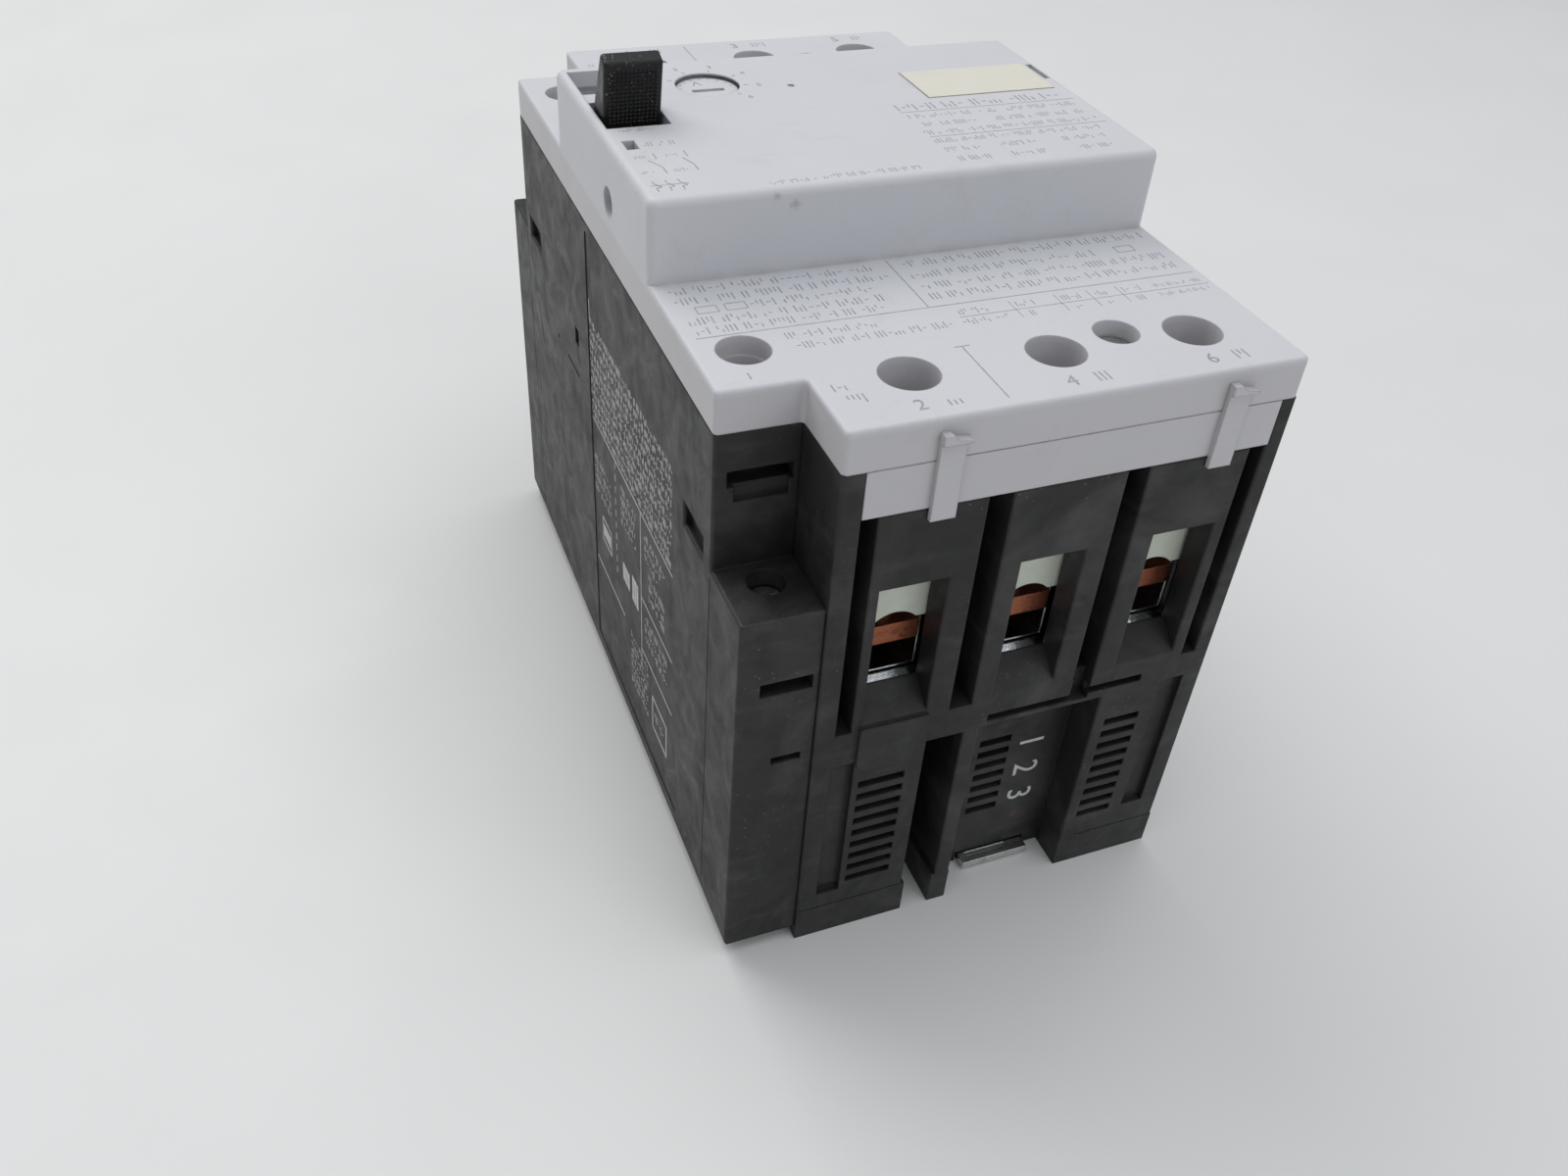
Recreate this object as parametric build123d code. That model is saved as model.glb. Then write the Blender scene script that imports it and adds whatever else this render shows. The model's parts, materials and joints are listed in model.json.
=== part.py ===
"""Three-pole motor protection breaker, four modules wide, built as separate pieces.

The breaker lies on its back. Z points out of its face, X runs across the poles and Y along the
current path: the load terminals are at -Y and the line terminals at +Y. The origin is the centre
of the back face. Every piece is modelled in its rest place: switched off, clamps open.
"""

import math
import os

from build123d import *

os.makedirs("parts", exist_ok=True)

# Overall sizes, in millimetres
WIDTH = 70.0
LENGTH = 120.0
RIGHT = WIDTH / 2
LEFT = -WIDTH / 2
END = LENGTH / 2
SPLIT = -24.4  # main housing to the right of this plane, auxiliary housing to the left

# Heights above the back face
BASE_TOP = 6.0
RAIL_FACE = 2.5
TROUGH_TOP = 9.7
AUX_BOTTOM = 2.5
AUX_LEDGE = 62.5
SEAM = 81.6
STEP_TOP = 87.1
DOME_TOP = 97.8

# Depths of the front cover and of the auxiliary housing, measured along Y
DOME_LOAD, DOME_LINE = -23.9, 21.6
AUX_UPPER_END = 48.8
AUX_LOWER_END = 59.5

# Walls
WALL = 2.0
THIN_WALL = 1.2
COVER_TOP = 2.2
EDGE_R = 1.2
CORNER_R = 0.6
HOUSING_R = 0.3
AUX_R = 0.45

# Poles
POLES = (-12.9, 5.9, 24.7)
PARTITIONS = ((-4.3, -2.7), (14.5, 16.1))
GROOVES = ((-21.5, -19.4), (-5.4, -2.2), (13.2, 16.2), (30.5, 32.6))
SHIELD_X = (-21.5, 32.9)
SHIELD_Z = (75.2, 81.5)
CLIP_X = (-11.7, 25.7)

# Terminal chambers, clamps and straps
BLOCK_INNER = 41.4
CHAMBER = (43.0, 56.0)
CHAMBER_FLOOR = 42.5
TERMINAL_Y = 50.7
STRAP_Z = (50.8, 53.8)
STRAP_HALF = 3.7
CAGE_Z = (43.9, 61.5)
CAGE_Y = (46.0, 54.6)
CAGE_HALF = 5.2
SCREW_R = 2.45
SCREW_RUNNING = 0.08
SCREW_HEAD_Z = (71.0, 74.5)
CHIMNEY_BOTTOM = 75.2

# Toggle and contact drive
PIVOT_Y, PIVOT_Z = 9.5, 82.5
TOGGLE_X = (-33.6, -25.4)
THROW = 30.0
CONTACT_LIFT = 5.5
CRANK_R = CONTACT_LIFT / (2 * math.sin(math.radians(THROW / 2)))
DRUM_R = 14.8
DRUM_SPLIT = 13.0
DRUM_END = 33.8
HANDLE_R = 24.4
LINK_LENGTH = 22.75
STUD_Y = -0.92

# Rail latch
RAIL_HALF = 17.6
LATCH_X = (4.6, 15.6)

# Step in the seam between the base plate and the housing
SEAM_STEP_X = 21.2
SEAM_STEP_Z = 7.3

# Mounting slots for screws through the base
SLOT_X = -5.3
SLOT_HALF = 2.2
SLOT_END_Y = 50.2

# Places in X and Y of screws, auxiliary terminals, dial, test button and marking plate
SCREWS_BELOW = ((-20.0, 54.6), (30.6, 54.6))
COVER_SCREW = (15.3, 48.6)
AUX_UPPER = (-29.0, 41.0)
AUX_LOWER = (-29.3, 52.6)
DIAL_XY = (-16.1, 11.2)
DIAL_R = 4.48
TEST_XY = (-32.3, -7.2)
TEST_STEM_X = -31.9
LABEL_X = (12.5, 32.6)
LABEL_Y = (0.0, 10.2)

# Side peg hole and trip shaft
PEG_Y, PEG_Z, PEG_R = -5.7, 90.0, 2.0
TRIP_AXIS = (-29.5, 74.0)


def box(x0, x1, y0, y1, z0, z1):
    """A block between two corners."""
    return Pos((x0 + x1) / 2, (y0 + y1) / 2, (z0 + z1) / 2) * Box(x1 - x0, y1 - y0, z1 - z0)


def upright(x, y, r, z0, z1):
    """A cylinder along Z."""
    return Pos(x, y, (z0 + z1) / 2) * Cylinder(r, z1 - z0)


def crosswise(y, z, r, x0, x1):
    """A cylinder along X."""
    return Pos((x0 + x1) / 2, y, z) * Rot(0, 90, 0) * Cylinder(r, x1 - x0)


def lengthwise(x, z, r, y0, y1):
    """A cylinder along Y."""
    return Pos(x, (y0 + y1) / 2, z) * Rot(90, 0, 0) * Cylinder(r, y1 - y0)


def side_profile(points, x0, x1):
    """An outline in the Y-Z plane, extruded from x0 to x1."""
    face = Plane.YZ.offset(x0) * make_face(Polyline(*points, close=True))
    return extrude(face, amount=x1 - x0)


def line_side(shape):
    """The mirror image of a load-side shape on the line side."""
    return mirror(shape, about=Plane.XZ)


def joined(shapes):
    """The union of a list of shapes."""
    shapes = list(shapes)
    return shapes[0] + shapes[1:] if len(shapes) > 1 else shapes[0]


def both_ends(shapes):
    """Load-side shapes with their line-side mirror images."""
    shapes = list(shapes)
    return shapes + [line_side(shape) for shape in shapes]


def rows(first, pitch, count):
    """Evenly spaced positions."""
    return [first + pitch * i for i in range(count)]


def on_plane(edge, axis, distance):
    """Whether an edge lies in one of the two planes at this distance from the middle."""
    bounds = edge.bounding_box()
    low, high = getattr(bounds.min, axis), getattr(bounds.max, axis)
    return high - low < 0.01 and abs(abs(low) - distance) < 0.01


def drum_sector(angle0, angle1, x0, x1, r0, r1):
    """A curved plate about the origin, between two angles from upright towards +Y."""
    def rim(r, angle):
        return (r * math.sin(math.radians(angle)), r * math.cos(math.radians(angle)))

    middle = (angle0 + angle1) / 2
    outline = [
        ThreePointArc(rim(r1, angle0), rim(r1, middle), rim(r1, angle1)),
        Line(rim(r1, angle1), rim(r0, angle1)),
        ThreePointArc(rim(r0, angle1), rim(r0, middle), rim(r0, angle0)),
        Line(rim(r0, angle0), rim(r1, angle0)),
    ]
    face = Plane.YZ.offset(x0) * make_face(outline)
    return extrude(face, amount=x1 - x0)


def coil_spring(x, y, z0, z1, r, wire_r, turns):
    """An open compression spring standing along Z."""
    height = z1 - z0 - 2 * wire_r
    path = Helix(pitch=height / turns, height=height, radius=r)
    section = Plane(origin=path @ 0, z_dir=path % 0) * Circle(wire_r)
    return Pos(x, y, z0 + wire_r) * sweep(section, path=path, is_frenet=True)


# ---------------------------------------------------------------- housings


def base_plate():
    """Back plate: rail channel with a fixed hook, mounting slots and the latch tunnel."""
    plate = box(SPLIT, RIGHT, -END, END, 0, BASE_TOP)
    plate += box(SPLIT, RIGHT, -RAIL_HALF - WALL, RAIL_HALF + WALL, 0, TROUGH_TOP)
    plate -= box(SPLIT - 1, RIGHT + 1, -RAIL_HALF, RAIL_HALF, -1, RAIL_FACE)
    plate += box(-10, 22, 15.8, RAIL_HALF + 0.5, 0, 1.2)
    cuts = [
        box(-0.2, 18.7, -END - 1, -54.5, -1, BASE_TOP + 1),
        box(SLOT_X - SLOT_HALF, SLOT_X + SLOT_HALF, -END - 1, -SLOT_END_Y, -1, BASE_TOP + 1),
        upright(SLOT_X, -SLOT_END_Y, SLOT_HALF, -1, BASE_TOP + 1),
    ]
    for x, y in SCREWS_BELOW:
        cuts.append(upright(x, -y, 3.1, -1, 2.4))
        cuts.append(upright(x, -y, 1.6, 2, BASE_TOP + 1))
    plate -= both_ends(cuts)
    plate += both_ends([box(18.7, SEAM_STEP_X, -END, -END + 1.8, BASE_TOP - 1, SEAM_STEP_Z)])
    x0, x1 = LATCH_X
    plate -= box(x0 - 0.3, x1 + 0.3, -53.2, -RAIL_HALF + 1, 0.8, 5.2)
    plate -= box(x0 - 0.3, x1 + 0.3, -END, -45.2, -1, 1.9)
    plate -= box(x0 - 0.3, x1 + 0.3, -25, -RAIL_HALF + 1, -1, 1.9)
    return plate + box(7.5, 10.5, -44.7, -41.5, 0.7, 5.3)


def terminal_cuts():
    """Chambers, wire windows with their sills, strap slots and grooves of one terminal row."""
    cuts = []
    near, far = CHAMBER
    for pole in POLES:
        window = (pole - 5.1, pole + 3.9)
        cuts.append(box(pole - 6.2, pole + 6.2, -far, -near, CHAMBER_FLOOR, SEAM + 1))
        cuts.append(box(*window, -END - 1, -far + 1, 45.2, 64))
        cuts.append(
            side_profile([(-END, 42), (-END, 46), (-far, 46), (-far, 45.2)], *window)
        )
        slot_z = (STRAP_Z[0] - 0.5, STRAP_Z[1] + 0.5)
        cuts.append(box(pole - 4.2, pole + 4.2, -near - 1, -BLOCK_INNER + 1, *slot_z))
    for x0, x1 in GROOVES:
        cuts.append(box(x0, x1, -END - 1, -55, 41, SEAM + 1))
    x0, x1 = SHIELD_X
    cuts.append(box(x0 - 0.1, x1 + 0.1, -END - 1, -58, SHIELD_Z[0] - 0.1, SEAM + 1))
    return cuts


def lower_front_cuts():
    """Shadow lines and cooling slots below one terminal row."""
    cuts = [
        box(16.1, 24.6, -END - 1, -58.8, 37.6, 38.9),
        box(13.2, 16.2, -END - 1, -58, 36.8, 41.5),
        box(28.4, 32.0, -END - 1, -59.1, 10.4, 36.6),
        box(-21.7, -18.3, -END - 1, -59.1, 9, 35.3),
    ]
    for z in rows(10.3, 2.45, 9):
        cuts.append(box(-17.4, -10.6, -END - 1, -57, z, z + 1.3))
        cuts.append(box(20.5, 26.2, -END - 1, -57, z, z + 1.3))
    for z in rows(10.6, 2.4, 7):
        cuts.append(box(4.5, 9.6, -55, -51, z, z + 1.3))
    return cuts


def deep_front_cuts():
    """Mounting channel, recessed panel and the slot above it, below one terminal row."""
    return [
        box(-8, -2.6, -END - 1, -48, 0, 36),
        box(-0.2, 18.7, -END - 1, -54.5, 0, 36),
        box(0.7, 14, -END - 1, -58.8, 36.8, 38),
    ]


def sill_boss():
    """Raised block below the outer terminal window, rounded at its lower corners."""
    boss = box(-18.4, -8.7, -END - 0.7, -END + 0.5, 33.9, 41.6)
    low_corners = boss.edges().filter_by(Axis.Y).group_by(Axis.Z)[0]
    boss = fillet(low_corners, 1.5)
    return fillet(boss.faces().sort_by(Axis.Y)[0].edges(), 0.25)


def main_housing():
    """Moulded body of the three poles, open to the base plate and to the front cover."""
    body = box(SPLIT, RIGHT, -END, END, BASE_TOP, SEAM)
    inner_x = (SPLIT + WALL, RIGHT - WALL)
    body -= box(*inner_x, -BLOCK_INNER, BLOCK_INNER, BASE_TOP - 1, SEAM + 1)
    body -= both_ends([box(*inner_x, -END + WALL, -BLOCK_INNER - 1, BASE_TOP - 1, 39)])
    inside = [
        box(-9.8, -0.8, -END + 1, -46.4, BASE_TOP, 39.5),
        box(-1.0, 20.7, -END + 1, -52.5, BASE_TOP, 39.5),
    ]
    inside += [upright(x, -y, 3.2, BASE_TOP, 39.5) for x, y in SCREWS_BELOW]
    body += both_ends(inside)
    for x0, x1 in PARTITIONS:
        body += box(x0, x1, -BLOCK_INNER - 0.5, BLOCK_INNER + 0.5, TROUGH_TOP + 0.1, 60)
        body += box(x0, x1, -34, -27.6, 59, 66.3)
    body -= box(SPLIT - 1, 20, -4.3, 4.3, 18, 36)
    body -= box(SPLIT - 1, -22, -32.3, -29.3, 66, 69.5)
    trough = RAIL_HALF + WALL + 0.1
    body -= box(SPLIT - 1, RIGHT + 1, -trough, trough, 0, TROUGH_TOP + 0.1)
    body -= both_ends(terminal_cuts() + deep_front_cuts())
    end_edges = body.edges().filter_by(lambda e: e.length > 7 and on_plane(e, "Y", END))
    body = fillet(end_edges.filter_by(lambda e: e.center().Z < SEAM - 1), HOUSING_R)
    body += both_ends([sill_boss()])
    cuts = lower_front_cuts()
    cuts.append(box(18.65, SEAM_STEP_X + 0.05, -END - 1, -END + 1.9, 0, SEAM_STEP_Z))
    cuts.append(upright(COVER_SCREW[0], -COVER_SCREW[1], 1.6, 60, SEAM + 1))
    cuts += [upright(x, -y, 1.6, BASE_TOP - 1, 20) for x, y in SCREWS_BELOW]
    return body - both_ends(cuts)


def aux_housing():
    """Moulded side housing for the switch lock and the auxiliary contacts, open towards the poles."""
    lower, upper = AUX_LOWER_END, AUX_UPPER_END
    half = [(lower, AUX_BOTTOM), (lower, AUX_LEDGE), (upper, AUX_LEDGE), (upper, SEAM)]
    outline = half + [(-y, z) for y, z in reversed(half)]
    body = side_profile(outline, LEFT, SPLIT - 0.03)
    body -= box(-33.7, SPLIT, -37.6, 37.6, TROUGH_TOP, SEAM + 1)
    body -= lengthwise(*TRIP_AXIS, 1.56, -39.2, -37)
    cuts = [
        upright(AUX_UPPER[0], -AUX_UPPER[1], 1.3, 67.5, 71),
        upright(AUX_UPPER[0], -AUX_UPPER[1], 4.3, 70, SEAM + 1),
        box(-33.3, -25.1, -upper - 1, -AUX_UPPER[1], 74.1, 76.4),
        box(-32.4, -25.6, -upper - 1, -upper + 0.8, 72, 74.2),
        upright(AUX_LOWER[0], -AUX_LOWER[1], 2.4, 50, AUX_LEDGE + 1),
        box(-32.1, -25.2, -lower - 1, -AUX_LOWER[1] + 3, 50.4, 52.6),
        box(-30, -26, -lower - 1, -lower + 2, 38.2, 39.4),
        box(LEFT - 1, -33.9, -45.8, -38.4, 62, 65.4),
        box(-33.0, SPLIT, -lower + WALL, -upper + 3, 12, 36),
    ]
    body -= both_ends(cuts)
    body = fillet(body.edges().filter_by(lambda e: on_plane(e, "X", -LEFT) and e.length > 3), AUX_R)
    ledges = body.edges().filter_by(Axis.X).filter_by(
        lambda e: abs(e.center().Z - AUX_LEDGE) < 0.01 and abs(abs(e.center().Y) - lower) < 0.01
    )
    body = fillet(ledges, HOUSING_R)
    body -= box(LEFT - 1, LEFT + 0.15, -36, 8, 5, 80)
    body -= both_ends([box(LEFT - 1, LEFT + 0.2, -48.9, -48.7, 5, AUX_LEDGE - 1)])
    body -= box(LEFT - 1, LEFT + 0.9, 14.1, 16.2, 57.8, 60.7)
    body -= box(LEFT - 1, LEFT + 0.5, 14.8, 21.8, 52.1, 52.6)
    return body - crosswise(28, 52.4, 0.4, LEFT - 1, LEFT + 0.5)


def cover_shell():
    """Outer skin of the front cover: a low tier over the terminals and a raised dome."""
    tier = box(SPLIT, RIGHT, -END, END, SEAM, STEP_TOP)
    tier += box(LEFT, SPLIT + 1, -AUX_UPPER_END, AUX_UPPER_END, SEAM, STEP_TOP)
    skin = tier + box(LEFT, RIGHT, DOME_LOAD, DOME_LINE, SEAM, DOME_TOP)
    corners = skin.edges().filter_by(Axis.Z)
    skin = fillet(corners.filter_by(lambda e: e.center().Z > STEP_TOP), EDGE_R)
    skin = fillet(skin.faces().sort_by(Axis.Z)[-1].edges(), EDGE_R - 0.1)
    corners = skin.edges().filter_by(Axis.Z)
    skin = fillet(corners.filter_by(lambda e: abs(e.center().Y) > AUX_UPPER_END - 1), CORNER_R)
    rim = skin.faces().filter_by(Axis.Z).filter_by(lambda f: abs(f.center().Z - STEP_TOP) < 0.01).edges()
    skin = fillet(rim.filter_by(lambda e: abs(e.center().Y) > AUX_UPPER_END - 1), CORNER_R - 0.1)
    left, right = LEFT + THIN_WALL, RIGHT - WALL
    tier_z = (SEAM - 1, STEP_TOP - COVER_TOP)
    inside = box(SPLIT + WALL, right, -END + WALL, END - WALL, *tier_z)
    inside += box(left, SPLIT + WALL + 1, -AUX_UPPER_END + WALL, AUX_UPPER_END - WALL, *tier_z)
    inside += box(left, right, DOME_LOAD + WALL, DOME_LINE - WALL, SEAM - 1, DOME_TOP - COVER_TOP)
    return skin - inside


def toggle_apron():
    """Curved plate inside the cover that closes the well behind the toggle's drum."""
    turn = Pos(0, PIVOT_Y, PIVOT_Z)
    apron = turn * drum_sector(21.5, 45, LEFT + 1, -24.3, DRUM_R - 2.9, DRUM_R - 1.9)
    return apron + box(-25.1, -24.3, 14.5, DOME_LINE - 1, 91, DOME_TOP - 1)


def front_cover():
    """Front cover with screwdriver chimneys, toggle well, dial seat and label seat."""
    roof = STEP_TOP - 0.5
    posts, holes = [], []
    for pole in POLES:
        posts.append(upright(pole, -TERMINAL_Y, 4.9, CHIMNEY_BOTTOM, roof))
        holes.append(upright(pole, -TERMINAL_Y, 3.65, CHIMNEY_BOTTOM - 1, STEP_TOP + 1))
    posts.append(upright(AUX_UPPER[0], -AUX_UPPER[1], 4.0, SEAM - 3, roof))
    holes.append(upright(AUX_UPPER[0], -AUX_UPPER[1], 3.25, STEP_TOP - 2.4, STEP_TOP + 1))
    holes.append(upright(AUX_UPPER[0], -AUX_UPPER[1], 2.95, SEAM - 4, STEP_TOP))
    posts.append(upright(COVER_SCREW[0], -COVER_SCREW[1], 4.2, SEAM, roof))
    holes.append(upright(COVER_SCREW[0], -COVER_SCREW[1], 2.85, SEAM + 1.4, STEP_TOP + 1))
    holes.append(upright(COVER_SCREW[0], -COVER_SCREW[1], 1.6, SEAM - 1, STEP_TOP))
    cover = cover_shell() + both_ends(posts) + toggle_apron()
    cover -= both_ends(holes)
    test_x, test_y = TEST_XY
    well_x = (TOGGLE_X[0] - 0.2, TOGGLE_X[1] + 0.2)
    cover -= [
        box(*well_x, -1.5, 19.5, DOME_TOP - COVER_TOP, DOME_TOP + 1),
        box(*well_x, 19, DOME_LINE - 0.7, STEP_TOP, DOME_TOP - COVER_TOP),
        upright(*DIAL_XY, DIAL_R, 94, DOME_TOP + 1),
        upright(*DIAL_XY, DIAL_R + 0.9, DOME_TOP - 1.4, DOME_TOP - 0.2),
        box(test_x - 0.8, test_x + 0.8, test_y - 1.4, test_y + 1.4, 94, DOME_TOP + 1),
        upright(-4.7, 8.6, 0.5, DOME_TOP - 0.6, DOME_TOP + 1),
        box(*LABEL_X, *LABEL_Y, DOME_TOP - 0.4, DOME_TOP + 1),
        box(33.1, 34.0, 3.8, 9.7, DOME_TOP - 1.6, DOME_TOP + 1),
        crosswise(PEG_Y, PEG_Z, PEG_R, LEFT - 1, -33),
    ]
    return cover


def rating_label():
    """Cream marking plate let into the dome."""
    (x0, x1), (y0, y1) = LABEL_X, LABEL_Y
    return box(x0 + 0.1, x1 - 0.1, y0 + 0.1, y1 - 0.1, DOME_TOP - 0.4, DOME_TOP + 0.1)


def terminal_shield():
    """Snap-in plate that covers the tops of the load terminals, with its two clips."""
    plate = box(*SHIELD_X, -END, -58.1, *SHIELD_Z)
    for x in CLIP_X:
        plate += box(x - 1.6, x + 1.6, -END - 0.7, -END, 73.7, 84.2)
        plate += box(x - 1.6, x + 1.6, -END - 0.2, -58.1, 76, 81)
        barb = [(-1.6, 84.0), (-1.6, 85.3), (-0.5, 85.3), (0.3, 84.6), (2.1, 84.3), (2.1, 84.0)]
        face = Plane.XZ.offset(END) * make_face(Polyline(*[(x + u, z) for u, z in barb], close=True))
        plate += extrude(face, amount=1.2)
    return plate


# ---------------------------------------------------------------- terminals


def terminal_strap(pole):
    """Copper bar from the clamp into the pole, on the load side."""
    return box(pole - STRAP_HALF, pole + STRAP_HALF, -55.2, -31.5, *STRAP_Z)


def line_strap(pole):
    """Copper bar from the line clamp down to the fixed contact, with its silver tip."""
    x0, x1 = pole - STRAP_HALF, pole + STRAP_HALF
    strap = box(x0, x1, 38, 55.2, *STRAP_Z)
    strap += box(x0, x1, 36, 38, 36, STRAP_Z[1])
    strap += box(x0, x1, 8, 38, 36, 38)
    return strap + box(pole - 2.5, pole + 2.5, 8.5, 12.3, 35.15, 36)


def cage_lip(pole):
    """Turned-down front lip of a clamp, rounded at both ends."""
    far, z0 = CAGE_Y[1], CAGE_Z[0]
    outline = [(-far + 2.2, z0), (-far + 2.2, z0 + 2), (-far + 0.9, z0 + 1.9), (-far - 0.9, z0 + 0.4), (-far - 0.9, z0)]
    lip = side_profile(outline, pole - CAGE_HALF + 0.4, pole + CAGE_HALF - 0.4)
    return fillet(lip.edges().filter_by(lambda e: e.center().Y < -far and abs(e.center().X - pole) > 4), 0.3)


def terminal_cage(pole):
    """Rising clamp of plated steel: it lifts the wire against the bar as its screw turns."""
    near, far = CAGE_Y
    z0, z1 = CAGE_Z
    outer = box(pole - CAGE_HALF, pole + CAGE_HALF, -far, -near, z0, z1)
    outer = fillet(outer.edges().filter_by(Axis.Y).group_by(Axis.Z)[0], 1.5)
    cage = outer - box(pole - 4, pole + 4, -far - 1, -near + 1, z0 + 2, z1 - 4)
    skirt = box(pole - 4.7, pole + 4.7, -far - 0.8, -far, z1 - 6.9, z1)
    skirt -= lengthwise(pole, z1 - 9.6, 4.0, -far - 2, -far + 1)
    cage += skirt
    cage += cage_lip(pole)
    return cage - upright(pole, -TERMINAL_Y, SCREW_R + SCREW_RUNNING, z0 + 3, z1 + 1)


def terminal_screw(pole):
    """Cross-slotted clamp screw."""
    z0, z1 = SCREW_HEAD_Z
    screw = upright(pole, -TERMINAL_Y, SCREW_R, STRAP_Z[1] + 0.3, z0)
    screw += upright(pole, -TERMINAL_Y, 3.4, z0, z1)
    screw -= box(pole - 2.6, pole + 2.6, -TERMINAL_Y - 0.5, -TERMINAL_Y + 0.5, z1 - 1.6, z1 + 1)
    return screw - box(pole - 0.5, pole + 0.5, -TERMINAL_Y - 2.6, -TERMINAL_Y + 2.6, z1 - 1.6, z1 + 1)


def small_screw(x, y, z_tip, z_head, z_top, r=1.5, head_r=2.2):
    """Slotted cheese-head screw with its head up."""
    screw = upright(x, y, r, z_tip, z_head) + upright(x, y, head_r, z_head, z_top)
    return screw - box(x - 3, x + 3, y - 0.35, y + 0.35, z_top - 0.8, z_top + 1)


def aux_terminal_plates():
    """Four tapped brass plates under the auxiliary terminal screws."""
    plates = []
    for (x, y), z in ((AUX_UPPER, 71.2), (AUX_LOWER, 52.8)):
        half = 1.5 if z < 60 else 2.8
        plate = box(x - half, x + half, -y - 1.6, -y + 1.6, z, z + 1.2)
        plates.append(plate - upright(x, -y, 1.06, z - 1, z + 2))
    return Compound(both_ends(plates))


# ---------------------------------------------------------------- current path inside


def magnet_coil(pole):
    """Copper coil of the short-circuit release with its lead and the load-side fixed contact."""
    profile = [(3.5, 43.4), (7.0, 43.4)]
    for z in rows(44.5, 2.2, 6):
        profile += [(7.4, z), (7.0, z + 1.1)]
    profile.append((3.5, 56.6))
    face = make_face(Polyline(*[(r, 0, z) for r, z in profile], close=True))
    coil = Pos(pole, 0, 0) * revolve(face, Axis.Z)
    coil += box(pole - 1.5, pole + 1.5, -32, -6.6, 55, 56.4)
    coil += box(pole - 2, pole + 2, -13, -11.5, 36, 45)
    coil += box(pole - 2, pole + 2, -12, -6.6, 43.6, 45)
    coil += box(pole - 3.7, pole + 3.7, -13, -8, 36, 38)
    return coil + box(pole - 2.5, pole + 2.5, -12.3, -8.5, 35.15, 36)


def magnet_plunger(pole):
    """Armature with its striking pin."""
    plunger = upright(pole, 0, 2.6, 47.2, 63) + upright(pole, 0, 4, 62.9, 64.4)
    return plunger + upright(pole, 0, 1, 40.3, 47.2)


def magnet_yokes():
    """Three U-shaped steel yokes around the coils."""
    yokes = []
    for pole in POLES:
        yoke = box(pole - 7, pole + 7, 8.2, 9.7, 41.4, 58.6)
        yoke += box(pole - 7, pole + 7, -4.4, 9, 41.4, 42.9)
        yoke += box(pole - 7, pole + 7, -4.4, 9, 57.1, 58.6)
        yokes.append(yoke - upright(pole, 0, 2.9, 50, 60) - upright(pole, 0, 1.3, 40, 44))
    return Compound(yokes)


def bimetal(pole):
    """Overload strip standing on the load strap."""
    return box(pole - 0.5, pole + 0.5, -38, -32, STRAP_Z[1], 68.8)


def contact_bridge(pole):
    """Moving double-break contact with its two silver tips."""
    bridge = box(pole - 3, pole + 3, -12.6, 12.6, 27, 28.4)
    for y in (-10.4, 10.4):
        bridge += box(pole - 2.3, pole + 2.3, y - 1.8, y + 1.8, 28.4, 29.6)
    return bridge


def contact_carrier():
    """Moulded crossbar that carries the three bridges, with the riser to the switch lock."""
    bar = box(-30.8, 31.2, -3.6, 3.6, 22, 27)
    for pole in POLES:
        for x in (pole - 4.9, pole + 3.3):
            bar += box(x, x + 1.6, -3.6, 3.6, 26, 31)
    bar += box(-30.8, -29.0, -4, 2.2, 22, 60)
    return bar + crosswise(STUD_Y, PIVOT_Z - CONTACT_LIFT / 2 - LINK_LENGTH, 1.2, -29.5, -27)


def arc_plates():
    """Notched steel splitter plates, a stack at each break of each pole."""
    plates = []
    for pole in POLES:
        for z in rows(13, 3.3, 6):
            plate = box(pole - 7.2, pole + 7.2, -34, -16, z, z + 1)
            plate -= upright(pole, -16, 3.2, z - 1, z + 2)
            plates.append(plate)
    return Compound(both_ends(plates))


def contact_spring(pole):
    """Spring under the crossbar that closes the contacts."""
    return coil_spring(pole, 0, TROUGH_TOP + 0.1, 21.9, 2.6, 0.45, 5)


# ---------------------------------------------------------------- switch lock


def toggle_pose(shape):
    """Leans a shape drawn about the pivot into its switched-off place."""
    return Pos(0, PIVOT_Y, PIVOT_Z) * Rot(THROW / 2, 0, 0) * shape


def toggle_handle():
    """Toggle: grip, front part of the drum, hub and crank arm."""
    x0, x1 = TOGGLE_X
    grip = [(-4.0, DRUM_R - 1.4), (-2.7, HANDLE_R + 1), (-0.7, HANDLE_R + 1), (1.7, DRUM_R - 1.4)]
    handle = side_profile(grip, x0 + 0.2, x1 - 0.2) & crosswise(0, 0, HANDLE_R, x0, x1)
    handle = fillet(handle.edges().filter_by(lambda e: e.center().Z > DRUM_R + 1), 0.5)
    handle += drum_sector(-63, DRUM_SPLIT, x0, x1, DRUM_R - 1.6, DRUM_R)
    handle += drum_sector(-40, 5, -31.4, -28.9, 2.5, DRUM_R - 1)
    handle += box(-31.4, -28.9, -CRANK_R - 2.1, 0, -2.2, 2.2)
    handle += crosswise(0, 0, 3.4, -31.9, -28.9)
    handle -= crosswise(0, 0, 1.56, -33, -28)
    handle -= crosswise(-CRANK_R, 0, 1.26, -33, -28)
    return toggle_pose(handle)


def toggle_shield():
    """Rear part of the drum, a separate grey shield that closes the well behind the grip."""
    return toggle_pose(drum_sector(DRUM_SPLIT + 0.2, DRUM_END, *TOGGLE_X, DRUM_R - 1.4, DRUM_R))


def toggle_pin():
    """Steel pin on which the toggle turns."""
    return crosswise(PIVOT_Y, PIVOT_Z, 1.5, -33.6, -25.4)


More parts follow.
